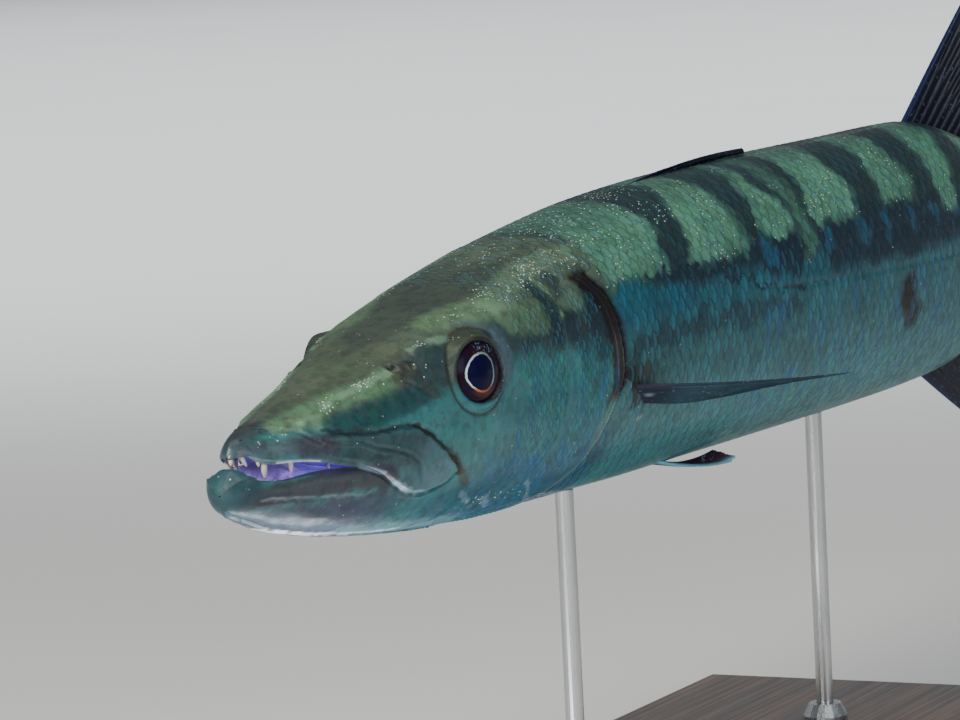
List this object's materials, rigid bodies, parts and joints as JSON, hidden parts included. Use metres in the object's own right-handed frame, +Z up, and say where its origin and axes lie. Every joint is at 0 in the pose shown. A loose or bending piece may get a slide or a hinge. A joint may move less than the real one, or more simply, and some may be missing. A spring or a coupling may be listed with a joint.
{
  "type": "life-size great barracuda model on a display stand",
  "caption": "Slender sea fish with a long pointed toothed jaw, parted gill covers, ray fins and a forked tail, held level on a flat base by rods.",
  "frame": {"origin": "centre of the stand base's underside, on the floor", "axes": "+X from the fish's snout towards its tail, -Y towards the fish's left side, +Z up"},
  "size_m": [0.9808, 0.2345, 0.3558],
  "materials": {
    "head_skin": "wet fish skin, olive brown above, blue grey below, smooth",
    "body_skin": "small silvery scales with dark bars on the back",
    "eye": "clear glossy eye with a dark pupil",
    "fin": "thin ribbed fin membrane, satin",
    "stand_wood": "dark stained wood, satin",
    "stand_steel": "brushed"
  },
  "bodies": {
    "root": {"head": "head_skin", "lower_jaw": "head_skin", "upper_lip_left": "head_skin", "upper_lip_right": "head_skin", "gill_cover_left": "head_skin", "gill_cover_right": "head_skin", "eye_left": "eye", "eye_right": "eye", "trunk_front": "body_skin", "trunk_rear": "body_skin", "tail_stalk": "body_skin", "dorsal_fin_first": "fin", "dorsal_fin_second": "fin", "anal_fin": "fin", "caudal_fin_upper": "fin", "caudal_fin_lower": "fin", "pectoral_fin_left": "fin", "pectoral_fin_right": "fin", "pelvic_fin_left": "fin", "pelvic_fin_right": "fin", "stand_base": "stand_wood", "stand_rod_front": "stand_steel", "stand_rod_rear": "stand_steel", "stand_collar_front": "stand_steel", "stand_collar_rear": "stand_steel"}
  },
  "joints": []
}
